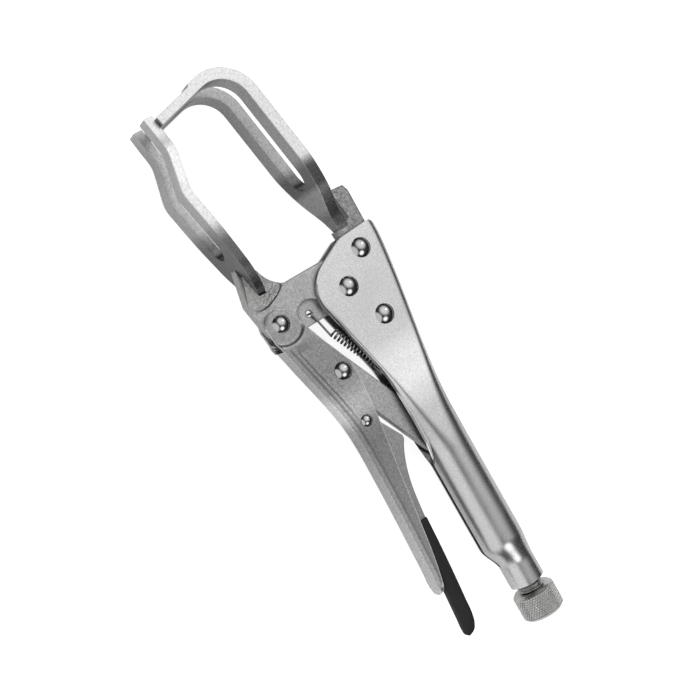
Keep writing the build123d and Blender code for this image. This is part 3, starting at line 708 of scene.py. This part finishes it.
@dataclass(frozen=True)
class FixedHandle:
    """The folded channel that rolls up into the grip tube. Sizes are in millimetres.

    roll_x, neck_x and drop_x are where the roll, the neck and the fall of the back begin and where they are
    complete. lip and mouth give the lip's radius and the slot's half width along the screw, and shoulder and
    nose the cheeks' outline up to the bulge over the pivot. ends and counts spread the sections.
    """

    sheet: float = 2.5
    cheek_half: float = 6.0
    barrel_r: float = 10.6
    barrel_y: float = 1.6
    roll_x: Pair = (127.0, 70.0)
    round_x: float = 60.0
    depth: float = 19.4
    drop_x: Pair = (84.0, 180.0)
    lowest_y: float = -19.1
    fold_r: float = 4.0
    neck_r: float = 8.2
    neck_x: Pair = (22.5, 10.0)
    bore_r: float = 6.05
    front_x: float = 175.15
    bend_x: float = 140.0
    top_front_x: float = 161.5
    ends: Tuple[float, ...] = (-0.5, 24.0, 64.0, 128.0, 175.15)
    counts: Tuple[int, ...] = (50, 16, 110, 60)
    lip: Line = ((70.0, 10.6), (108.0, 2.6), (116.0, 1.0))
    mouth: Line = ((11.3, 0.0), (11.6, 0.6), (12.0, 0.95), (12.8, 1.2), (66.0, 1.2), (70.5, 3.4),
                   (78.0, 5.6), (92.0, 6.2), (104.0, 5.2))
    shoulder: Line = ((0.0, 12.2), (108.0, 12.2), (116.0, 12.9), (123.6, 14.8))
    nose: Line = ((-19.8, 171.7), (-16.3, 175.15), (0.0, 173.9))
    pivot: Pair = (154.1, 7.2)
    bulge_r: float = 14.8
    peg: Pair = (113.0, 8.5)
    peg_r: float = 1.3
    peg_z: Pair = (-4.0, 1.0)
    steps: int = 110

    def top_edge(self, x: Array) -> Array:
        """Gives the height of the cheeks' free edge, a ramp that runs on to the round bulge over the pivot."""
        return broken(x, [*self.shoulder, *arc(self.pivot, self.bulge_r, 102.0, 58.0, 12)])

    def front_edge(self, y: Array) -> Array:
        """Gives the place of the front edge: a clipped corner, a slanted line and the bulge's arc."""
        return broken(y, [*self.nose, *arc(self.pivot, self.bulge_r, 24.0, 60.0, 10)[:, ::-1]])

    def profile(self, half: Array, back: Array, top: Array, fold: Array, lip: Array,
                mouth: Array) -> Tuple[Array, Array]:
        """Walks round one skin of the section at even steps of length.

        From the mouth it goes out along the top, round the lip's arc, down the cheek, round the fold's arc
        and along the back to the mid-plane. The other half is its mirror image. Where the mouth cuts the
        lip's arc, the walk starts on the arc.

        Args:
            half: Half width of each section.
            back: Height of its back.
            top: Height of its free edge.
            fold: Radius of the fold.
            lip: Radius of the lip.
            mouth: Half width of the mouth.

        Returns:
            Height and sideways place of the steps, sections by steps.
        """
        turn = np.arccos(np.clip((mouth - (half - lip)) / lip, 0.0, 1.0))
        flat = np.maximum(half - lip - mouth, 0.0)
        cheek = np.maximum(top - lip - back - fold, 0.0)
        ends = np.cumsum(np.stack((flat, lip * turn, cheek, fold * 0.5 * np.pi, half - fold)), axis=0)
        walk = np.linspace(0.0, 1.0, self.steps // 2)[None, :] * ends[-1]
        on_lip = turn - (walk - ends[0]) / lip
        on_fold = (walk - ends[2]) / fold
        where = [walk <= end for end in ends[:4]]
        level = 0.0 * walk
        z = np.select(where, [mouth + walk, half - lip + lip * np.cos(on_lip), half + level,
                              half - fold + fold * np.cos(on_fold)], half - fold - (walk - ends[3]))
        y = np.select(where, [top + level, top - lip + lip * np.sin(on_lip), top - lip - (walk - ends[1]),
                              back + fold - fold * np.sin(on_fold)], back + level)
        return mirrored(y, 1.0), mirrored(z, -1.0)

    def skins(self) -> List[Skin]:
        """Works out the sheet as sections along the screw, and the spring's peg.

        The half width grows by an eased step from the cheeks to the tube, the back falls by another,
        and a third shrinks the tube to the neck. Ahead of bend_x the sections lean to follow the front edge.

        Returns:
            The skins of the sheet and the peg.
        """
        u = stretches(self.ends, self.counts)[:, None]
        roll = step(u, self.roll_x)
        neck = step(u, self.neck_x)
        radius = self.barrel_r - (self.barrel_r - self.neck_r) * neck
        middle = self.barrel_y * (1.0 - neck)
        formed = u > self.round_x
        half = np.where(formed, self.cheek_half + (self.barrel_r - self.cheek_half) * roll, radius)
        drop = (self.depth - self.barrel_r + self.barrel_y) * step(u, self.drop_x)
        back = np.maximum(middle - radius - drop, self.lowest_y)
        ahead = np.clip((u - self.bend_x) / (self.front_x - self.bend_x), 0.0, 1.0)
        edge_x = np.minimum(u, self.bend_x) + ahead * (self.top_front_x - self.bend_x)
        top = np.where(formed, self.top_edge(edge_x), middle + radius)
        widest = half - 0.02
        fold = np.minimum(self.fold_r + (self.barrel_r - self.fold_r) * roll, widest)
        lip = np.minimum(broken(u, self.lip), widest)
        sheet = self.sheet + (self.neck_r - self.bore_r - self.sheet) * neck
        last_x, last = self.mouth[-1]
        mouth = np.where(u > last_x, np.minimum(half - sheet, last), broken(u, self.mouth))
        sides = []
        for inset in (0.0 * sheet, sheet):
            y, z = self.profile(half - inset, back + inset, top - inset, np.maximum(fold - inset, 0.5),
                                np.maximum(lip - inset, 0.3), mouth)
            sides.append(at_handle(u + ahead * (self.front_edge(y) - self.front_x), y, z))
        turn, ends = circle(32), np.array(self.peg_z)[:, None]
        peg = at_handle(self.peg[0] + self.peg_r * np.cos(turn), self.peg[1] + self.peg_r * np.sin(turn), ends)
        return [Skin.sheet(*sides), Skin.tube(peg)]


@dataclass(frozen=True)
class LowerHandle:
    """The pressed channel with two joggled ears. Sizes are in millimetres.

    tip_r rounds the web's end and corner_r the cheeks' corners there, where tip_thin is the share of the
    thickness left. The ears are pressed in by joggle round the pin, and the cheeks by groove beside the fold.
    """

    sheet: float = 2.5
    half: float = 7.25
    fold_r: float = 3.0
    tip_x: float = 18.0
    tip_r: float = 6.0
    corner_r: float = 2.5
    tip_thin: float = 0.12
    front_x: float = 144.0
    pin: Pair = (155.0, 42.5)
    ear_r: float = 6.6
    joggle_r: float = 9.6
    joggle: float = 1.25
    joggle_run: float = 1.8
    groove: float = 0.6
    groove_reach: Line = ((60.0, 0.0), (100.0, 0.5), (112.0, 1.0), (140.0, 1.0), (144.0, 0.2))
    groove_run: float = 2.0
    web: Line = (
        (164.0, 53.6), (144.0, 47.5), (132.0, 44.7), (120.0, 41.8), (112.0, 40.0), (105.0, 38.7), (98.0, 37.9),
        (90.0, 37.6), (76.0, 37.8), (60.0, 38.3), (40.0, 39.2), (16.0, 40.4))
    edge: Line = (
        (147.7, 33.1), (141.9, 30.8), (124.8, 24.2), (113.1, 24.3), (98.8, 25.8), (75.6, 29.3), (56.4, 32.0),
        (30.0, 36.2), (18.0, 39.0))
    ear_top: Line = ((144.0, 47.5), (147.6, 48.4))
    ear_low: Line = ((144.0, 31.6), (147.7, 33.1), (153.5, 34.9))

    def sunk(self, x: Array, y: Array) -> Array:
        """Gives how far the cheek is pressed in: the eased step of the joggle round the pin."""
        away = np.hypot(x - self.pin[0], y - self.pin[1])
        return self.joggle * eased((self.joggle_r + 0.5 * self.joggle_run - away) / self.joggle_run)

    def channel(self) -> Skin:
        """Works out the channel from its tip to the ears.

        Each section runs up a cheek from its free edge, round a quarter circle and across the web to
        the mid-plane, and is mirrored. Beside the fold the cheek drops by an eased step and rises back
        to its edge. At the tip the sheet thins out and its corners are rounded.

        Returns:
            The skin.
        """
        bow = self.tip_r * (1.0 - np.cos(np.linspace(0.0, 0.5 * np.pi, 14)))
        tip_end = self.tip_x + self.tip_r
        x = np.concatenate((self.tip_x + bow[:-1], np.linspace(tip_end, self.front_x, 150)))[:, None]
        half = self.half - self.tip_r + quarter(tip_end - x, self.tip_r)
        back = flowing(x, self.web)
        low = flowing(x, self.edge) + self.corner_r - quarter(self.tip_x + self.corner_r - x, self.corner_r)
        up, turn = np.linspace(0.0, 1.0, 46)[None, :], np.linspace(0.0, 0.5 * np.pi, 12)[None, 1:]
        across = np.linspace(0.0, 1.0, 7)[None, 1:]
        sides = []
        for deep in (0.0, self.sheet):
            inset = deep * (self.tip_thin + (1.0 - self.tip_thin) * eased((x - self.tip_x) / self.tip_r))
            wide, high = half - inset, back - inset
            fold = np.minimum(np.maximum(self.fold_r - inset, 0.5), wide)
            fold = np.minimum(fold, np.maximum(high - low - 0.15, 0.1))
            low = np.minimum(low, high - fold - 0.05)
            y = np.concatenate((low + (high - fold - low) * up, high - fold + fold * np.sin(turn),
                                high + 0.0 * across), axis=1)
            z = np.concatenate((wide + 0.0 * up, wide - fold + fold * np.cos(turn),
                                (wide - fold) * (1.0 - across)), axis=1)
            on_cheek = eased((z - wide + fold) / np.maximum(fold, 0.1))
            z = z - self.sunk(x, y) * on_cheek
            if deep == 0.0:
                brink = back - self.fold_r - 0.4
                far = np.clip((y - low) / np.maximum(brink - low, 0.5), 0.0, 1.0)
                depth = self.groove * broken(x, self.groove_reach) * eased((brink - y) / self.groove_run)
                z = z - depth * far * on_cheek
            sides.append(at_handle(x, mirrored(y, 1.0), mirrored(z, -1.0)))
        return Skin.sheet(*sides)

    def ears(self) -> List[Skin]:
        """Works out the two ears ahead of the web, grids stretched between their upper and lower outlines.

        Returns:
            The skin of each ear.
        """
        ahead = self.pin[0] + self.ear_r - self.front_x
        x = self.front_x + ahead * np.sin(np.linspace(0.0, 0.5 * np.pi, 60))
        top = broken(x, [*self.ear_top, *arc(self.pin, self.ear_r, 105.0, 0.0, 24)])
        low = broken(x, [*self.ear_low, *arc(self.pin, self.ear_r, -45.0, 0.0, 12)])
        up = np.linspace(0.0, 1.0, 50)[None, :]
        x, y = np.broadcast_arrays(x[:, None], low[:, None] + (top - low)[:, None] * up)
        out = self.half - self.sunk(x, y)
        return both_sides(x, y, out, out - self.sheet)

    def skins(self) -> List[Skin]:
        """Gives the skins of the channel and its ears."""
        return [self.channel(), *self.ears()]


@dataclass(frozen=True)
class JawWeld:
    """The weld that wraps the lower fork's root on both faces of the jaw plate. Sizes are in millimetres.

    toe is its outline on the plate, and root the line where it meets the fork, point for point.
    """

    plate_half: float = 3.25
    sink: float = 0.2
    rise: float = 1.9
    lump: float = 0.09
    toe: Line = (
        (168.6, 50.4), (165.6, 49.8), (163.9, 48.6), (163.5, 46.0), (163.6, 43.0), (164.6, 40.0), (166.4, 36.0),
        (169.1, 32.6), (171.2, 34.6), (173.6, 36.8), (176.2, 38.4), (179.4, 39.4))
    root: Line = (
        (180.5, 46.7), (176.0, 45.9), (172.0, 45.1), (169.7, 44.6), (169.6, 43.4), (169.6, 42.1), (169.7, 40.9),
        (171.5, 41.1), (173.5, 41.5), (176.0, 42.0), (178.3, 42.5), (180.5, 42.9))

    def skins(self) -> List[Skin]:
        """Works out the mound on each face, ruled from its toe to the fork's root.

        Its height is an eased step at the toe and a 1.5 power of the way to the root, plus ripples:
        the product of two sine waves across each other, each bent by a slower one.

        Returns:
            The skin of each mound.
        """
        s, knots = np.linspace(0.0, 1.0, 90), np.linspace(0.0, 1.0, len(self.toe))
        toe = paths(s, knots, self.toe)[:, None]
        root = np.stack([np.interp(s, knots, values) for values in zip(*self.root)], axis=-1)[:, None]
        t = np.linspace(0.0, 1.0, 30)[None, :]
        x, y = np.moveaxis(toe + (root - toe) * t[..., None], -1, 0)
        ripple = np.sin(x * 3.1 + 1.4 * np.sin(y * 1.9)) * np.sin(y * 2.7 + 1.2 * np.sin(x * 1.7))
        ripple *= np.minimum(t * 7.0, 1.0)
        height = 0.1 + self.rise * (0.45 * eased(t * 7.0) + 0.5 * t ** 1.5) + self.lump * ripple
        return both_sides(x, y, self.plate_half + height, self.plate_half - self.sink + 0.0 * x)


@dataclass(frozen=True)
class DippedSleeve:
    """The soft sleeve on the release lever's tail. Sizes are in millimetres.

    lip and tip are the shares of the length that the drawn-in mouth and the rounded tip take, and knots the
    shares at the points of the two outlines.
    """

    half: float = 2.5
    lip: float = 0.012
    tip: float = 0.14
    squareness: float = 0.55
    knots: Tuple[float, ...] = (0.0, 0.25, 0.5, 0.7, 0.85, 0.93, 0.97, 1.0)
    over: Line = (
        (50.0, 34.9), (37.0, 35.6), (24.0, 36.4), (12.0, 37.35), (3.0, 38.1), (-1.4, 38.55), (-3.9, 38.4),
        (-5.5, 36.9))
    under: Line = (
        (50.0, 27.0), (36.0, 27.9), (22.0, 29.0), (10.0, 30.15), (2.1, 31.0), (-2.1, 32.3), (-4.2, 33.8),
        (-5.5, 36.3))

    def skins(self) -> List[Skin]:
        """Works out the sleeve as superellipses strung between its upper and lower outlines.

        Each ring is the cosine and sine of the angle raised to the power of squareness, with their signs
        kept. The half thickness falls off at the tip as a quarter ellipse and is drawn in at the mouth.

        Returns:
            The sleeve's skin.
        """
        bunched = 1.0 - 0.15 * (1.0 - np.sin(np.linspace(0.0, 0.5 * np.pi, 30)))
        s = np.concatenate((stretches((0.0, self.lip, 0.85), (5, 60))[:-1], bunched))
        over, under = (paths(s, self.knots, side) for side in (self.over, self.under))
        mouth = (0.9 + 0.1 * eased(s / self.lip))[:, None]
        middle, reach = 0.5 * (over + under), 0.5 * (over - under) * mouth
        angle = circle(56)
        cosine, sine = (np.sign(f) * np.abs(f) ** self.squareness for f in (np.cos(angle), np.sin(angle)))
        past = np.maximum(s - (1.0 - self.tip), 0.0) / self.tip
        thick = self.half * mouth * np.sqrt(np.maximum(1.0 - past ** 2, 0.01))[:, None]
        x, y = (middle[:, k, None] + reach[:, k, None] * cosine for k in (0, 1))
        return [Skin.tube(at_handle(x, y, thick * sine))]


@dataclass(frozen=True)
class AdjustingScrew:
    """The threaded screw and its diamond-knurled knob. Sizes are in millimetres.

    point is what the radius loses over the tip's last millimetre, and knurl_deg the grooves' slant from the axis.
    """

    thread_r: float = 6.0
    thread_depth: float = 1.0
    pitch: float = 1.75
    tip_x: float = 65.0
    point: float = 1.2
    knob_r: float = 9.9
    knob_front_x: float = -4.8
    knob_end_x: float = -17.3
    bevel: float = 1.2
    knurl_depth: float = 0.42
    knurl_count: int = 46
    knurl_deg: float = 32.0

    def turned(self, x: Array, radius: Array, angle: Array) -> List[Skin]:
        """Makes a skin of rings at a radius round the screw's axis."""
        return [Skin.tube(at_handle(x, radius * np.sin(angle), radius * np.cos(angle)))]

    def shank(self) -> List[Skin]:
        """Works out the threaded rod.

        The radius is the crest's less the depth times a triangle wave of (x / pitch - turn),
        flattened at crest and root, where turn is the angle as a share of a circle.

        Returns:
            The rod's skin.
        """
        x = np.linspace(self.knob_front_x - 0.5, self.tip_x, 420)[:, None]
        angle = circle(48)
        wave = triangle(x / self.pitch - angle / (2.0 * np.pi))
        depth = self.thread_depth * np.clip(wave * 1.35 - 0.18, 0.0, 1.0)
        tip = 1.0 - np.clip(self.tip_x - x, 0.0, 1.0)
        return self.turned(x, self.thread_r - depth - self.point * tip, angle)

    def knob(self) -> List[Skin]:
        """Works out the knob.

        Two crossing families of slanted grooves cut the rim. Each is a triangle wave of
        (count x turn +/- x / lead), and the rim's height is the lower of the two.

        Returns:
            The knob's skin.
        """
        front, end, r, bevel = self.knob_front_x, self.knob_end_x, self.knob_r, self.bevel
        rim = np.linspace(front - bevel, end + bevel, 78)
        x = np.concatenate(([front, front, front - 0.15 * bevel], rim, [end + 0.15 * bevel, end, end]))[:, None]
        base = np.concatenate(([2.0, r - bevel, r - 0.85 * bevel], np.full_like(rim, r),
                               [r - 0.85 * bevel, r - bevel, 1.0]))[:, None]
        angle = circle(6 * self.knurl_count)
        turn = self.knurl_count * angle / (2.0 * np.pi)
        lead = 2.0 * np.pi * r / self.knurl_count / math.tan(math.radians(self.knurl_deg))
        height = np.minimum(triangle(turn + x / lead), triangle(turn - x / lead))
        height = np.minimum(height * 1.6, 1.0)
        inside = np.clip(np.minimum(front - bevel - x, x - end - bevel) / 0.5 + 0.35, 0.0, 1.0)
        cut = self.knurl_depth * inside * (base > r - 0.01) * (1.0 - height)
        return self.turned(x, base - cut, angle)


@dataclass(frozen=True)
class ReturnSpring:
    """The coil of round wire that pulls the movable jaw open. Sizes are in millimetres.

    The coil's ends are measured from the peg. The bend over the hook has corner_r and its middle at hook_top.
    blend_start and blend_end give where the handle's hold ends and the jaw's begins; the script works them out but
    nothing blends the spring between them.
    """

    peg: Pair = (113.0, 8.5)
    hook: Pair = (152.4, 27.5)
    coil_r: float = 2.1
    wire_r: float = 0.5
    coil_start: float = 6.5
    coil_end: float = 30.0
    turns: float = 13.0
    eye_r: float = 1.9
    corner_r: float = 0.7
    hook_top: float = 1.4
    hook_low: float = -2.3
    blend_start: Point = (115.0, 9.5, 0.0)
    blend_end: Point = (150.0, 26.3, 0.0)

    def centre_line(self) -> Array:
        """Works out the middle of the wire in the spring's own axes.

        It goes from the eye round the peg, along the rear leg, up a helix, along the front leg
        and down through the jaw's hole.

        Returns:
            Points by 3: forward along the spring, left of it and up.
        """
        length = math.hypot(self.hook[0] - self.peg[0], self.hook[1] - self.peg[1])
        eye = np.radians(np.linspace(-60.0, -270.0, 24))
        start = np.stack((self.eye_r * np.cos(eye), self.eye_r * np.sin(eye), 0.0 * eye), axis=-1)
        turn = np.linspace(0.0, 1.0, int(self.turns * 22))
        angle = 2.0 * np.pi * self.turns * turn
        forward = self.coil_start + (self.coil_end - self.coil_start) * turn
        coil = np.stack((forward, self.coil_r * np.cos(angle), self.coil_r * np.sin(angle)), axis=-1)
        lead = np.linspace(0.0, 1.0, 8)[1:-1, None]
        rear = start[-1] + lead * (coil[0] - start[-1])
        corner_x = length - self.corner_r - 0.2
        front = coil[-1] + lead * (np.array((corner_x, 0.0, self.hook_top + self.corner_r)) - coil[-1])
        bend = np.linspace(0.0, 0.5 * np.pi, 8)
        hook = np.stack((corner_x + self.corner_r * np.sin(bend), 0.0 * bend,
                         self.hook_top + self.corner_r * np.cos(bend)), axis=-1)
        fall = np.linspace(self.hook_top - 0.2, self.hook_low, 6)
        down = np.stack((np.full_like(fall, length - 0.2), 0.0 * fall, fall), axis=-1)
        return np.concatenate((start, rear, coil, front, hook, down))

    def skins(self) -> List[Skin]:
        """Carries a circle along the centre line.

        Each ring lies across the path's tangent, in axes got by crossing the tangent with a fixed
        direction that the wire never runs along.

        Returns:
            The wire's skin.
        """
        line = self.centre_line()
        tangent = np.gradient(line, axis=0)
        tangent /= np.linalg.norm(tangent, axis=1)[:, None]
        side = np.cross(tangent, np.array((0.31, 0.11, 0.94)))
        side /= np.linalg.norm(side, axis=1)[:, None]
        rise = np.cross(side, tangent)
        angle = circle(10)[..., None]
        rings = line[:, None] + self.wire_r * (np.cos(angle) * side[:, None] + np.sin(angle) * rise[:, None])
        way = np.array(self.hook) - self.peg
        way /= np.linalg.norm(way)
        x = self.peg[0] + rings[..., 0] * way[0] - rings[..., 1] * way[1]
        y = self.peg[1] + rings[..., 0] * way[1] + rings[..., 1] * way[0]
        return [Skin.tube(at_handle(x, y, rings[..., 2]))]


@dataclass(frozen=True)
class SkyPatch:
    """A soft round light painted on the sky.

    Attributes:
        towards: Direction from the clamp to the middle of the light.
        full_deg: Angle from the middle within which it is at full strength.
        edge_deg: Angle from the middle at which it has faded out.
        strength: Radiance that it adds at its middle.
    """

    towards: Point
    full_deg: float
    edge_deg: float
    strength: float

    def glow(self, build: NodeBuilder, direction: Value) -> Socket:
        """Adds the nodes that fade the light from its middle to its edge.

        Args:
            build: Builder of the sky's node tree.
            direction: The looking direction's socket.

        Returns:
            The light's radiance socket.
        """
        near = build.dot(direction, Vector(self.towards).normalized())
        edge, full = (math.cos(math.radians(angle)) for angle in (self.edge_deg, self.full_deg))
        return build.ramp(near, edge, full, 0.0, self.strength, "SMOOTHSTEP")


@dataclass(frozen=True)
class Studio:
    """Floor and sky.

    Attributes:
        floor_z: Height of the floor.
        base: Radiance of the upper sky between its soft lights.
        patches: The soft lights.
    """

    floor_z: float
    base: float = 0.08
    patches: Tuple[SkyPatch, ...] = (
        SkyPatch((0.35, -0.35, 0.87), 8.0, 48.0, 1.1),
        SkyPatch((-0.05, 0.927, 0.375), 32.0, 50.0, 0.85),
        SkyPatch((-0.68, 0.05, 0.73), 7.0, 23.0, 1.8),
        SkyPatch((0.30, -0.61, 0.73), 3.0, 5.0, 6.0),
    )

    def lay_floor(self) -> None:
        """Lays a plain white floor under the clamp, with a glow of its own where it is seen directly."""
        bpy.ops.mesh.primitive_plane_add(size=6.0, location=(0.0, 0.0, self.floor_z))
        floor = bpy.context.object
        floor.name = "floor"
        material = bpy.data.materials.new("floor_white")
        material.use_nodes = True
        build = NodeBuilder(material.node_tree)
        path = build.add("ShaderNodeLightPath").outputs
        indirect = build.math("ADD", path["Is Glossy Ray"], path["Is Transmission Ray"])
        seen = build.math("MULTIPLY", path["Is Camera Ray"], 0.75)
        glow = build.math("ADD", seen, build.math("MULTIPLY", indirect, 0.15))
        settings = {"Base Color": (0.92, 0.92, 0.92, 1.0), "Roughness": 0.9, "Specular IOR Level": 0.0,
                    "Emission Color": (1.0, 1.0, 1.0, 1.0), "Emission Strength": glow}
        shader = material.node_tree.nodes["Principled BSDF"].inputs
        for name, value in settings.items():
            build.feed(shader[name], value)
        floor.data.materials.append(material)
        floor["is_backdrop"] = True

    def paint_sky(self) -> None:
        """Paints a sky, dark at the horizon and bright in its patches, that is white where it is seen directly."""
        world = bpy.data.worlds.new("studio")
        bpy.context.scene.world = world
        world.use_nodes = True
        build = NodeBuilder(world.node_tree)
        direction = build.add("ShaderNodeTexCoord").outputs["Generated"]
        height = build.add("ShaderNodeSeparateXYZ", {0: direction}).outputs["Z"]
        total = build.ramp(height, 0.25, 0.75, 0.02, self.base)
        for patch in self.patches:
            total = build.math("ADD", total, patch.glow(build, direction))
        seen = build.add("ShaderNodeLightPath").outputs["Is Camera Ray"]
        background = world.node_tree.nodes["Background"].inputs
        background["Color"].default_value = (1.0, 1.0, 1.0, 1.0)
        build.feed(background["Strength"], build.math("MAXIMUM", total, seen))


@dataclass(frozen=True)
class Camera:
    """The view from above and a little to the lower handle's side.

    Attributes:
        place: Where the camera stands.
        look: The point in the middle of the view.
        up: The view's upward direction.
        lens_mm: Focal length on a 36 mm sensor.
        side: Width and height of the render.
    """

    place: Point = (-0.07148, 0.16245, 0.50853)
    look: Point = (-0.12180, -0.02885, 0.0)
    up: Point = (0.86475, -0.49224, 0.09960)
    lens_mm: float = 64.54
    side: int = 700

    def stand(self) -> None:
        """Adds the camera and sets the render's size and colour handling."""
        data = bpy.data.cameras.new("camera")
        data.lens = self.lens_mm
        data.sensor_width = 36.0
        data.clip_start = 0.01
        camera = bpy.data.objects.new("camera", data)
        bpy.context.collection.objects.link(camera)
        place = Vector(self.place)
        back = (place - Vector(self.look)).normalized()
        right = Vector(self.up).cross(back).normalized()
        turn = Matrix((right, back.cross(right), back)).transposed()
        camera.matrix_world = Matrix.Translation(place) @ turn.to_4x4()
        scene = bpy.context.scene
        scene.camera = camera
        scene.render.resolution_x = scene.render.resolution_y = self.side
        scene.view_settings.view_transform = "Standard"


def build_pieces(maker: Maker) -> None:
    """Makes every worked-out piece, and says which CAD node it replaces and which body it rides, except the
    spring, which rides none.

    Args:
        maker: Makes the pieces.
    """
    handle = maker.piece("rolled_handle", FixedHandle().skins(), Slot.HANDLE, crease_deg=SHEET_CREASE)
    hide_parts("fixed_handle")
    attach(handle, "root")
    lower = maker.piece("pressed_lower_handle", LowerHandle().skins(), Slot.LOWER, crease_deg=SHEET_CREASE)
    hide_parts("lower_handle")
    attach(lower, "handle_lever")
    weld = maker.piece("jaw_weld_mounds", JawWeld().skins(), Slot.WELD, crease_deg=SHEET_CREASE)
    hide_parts("movable_jaw_weld")
    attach(weld, "movable_jaw")
    sleeve = maker.piece("dipped_sleeve", DippedSleeve().skins(), Slot.SLEEVE)
    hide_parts("lever_sleeve")
    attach(sleeve, "release")
    screw = AdjustingScrew()
    shank = maker.piece("screw_thread", screw.shank(), Slot.SCREW)
    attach(shank, "screw")
    knob = maker.piece("knurled_knob", screw.knob(), Slot.KNOB, smooth=False)
    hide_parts("adjusting_screw")
    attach(knob, "screw")
    coil = ReturnSpring()
    spring = maker.piece("spring_wire", coil.skins(), Slot.SPRING)
    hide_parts("return_spring")
    start, end = (tuple(at_handle(*place)) for place in (coil.blend_start, coil.blend_end))
    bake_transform(spring)


def main() -> None:
    """Builds the clamp's looks in order."""
    logging.basicConfig(level=logging.INFO)
    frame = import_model()
    bounds_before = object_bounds()
    effects = Effects()
    palette = Palette({finish.slot: finish.make(effects) for finish in FINISHES})
    palette.dress_frame(frame)
    build_pieces(Maker(palette))
    studio = Studio(float(bounds_before[0][2]))
    studio.lay_floor()
    studio.paint_sky()
    Camera().stand()
    LOG.info("clamp built")


if __name__ == "__main__":
    main()
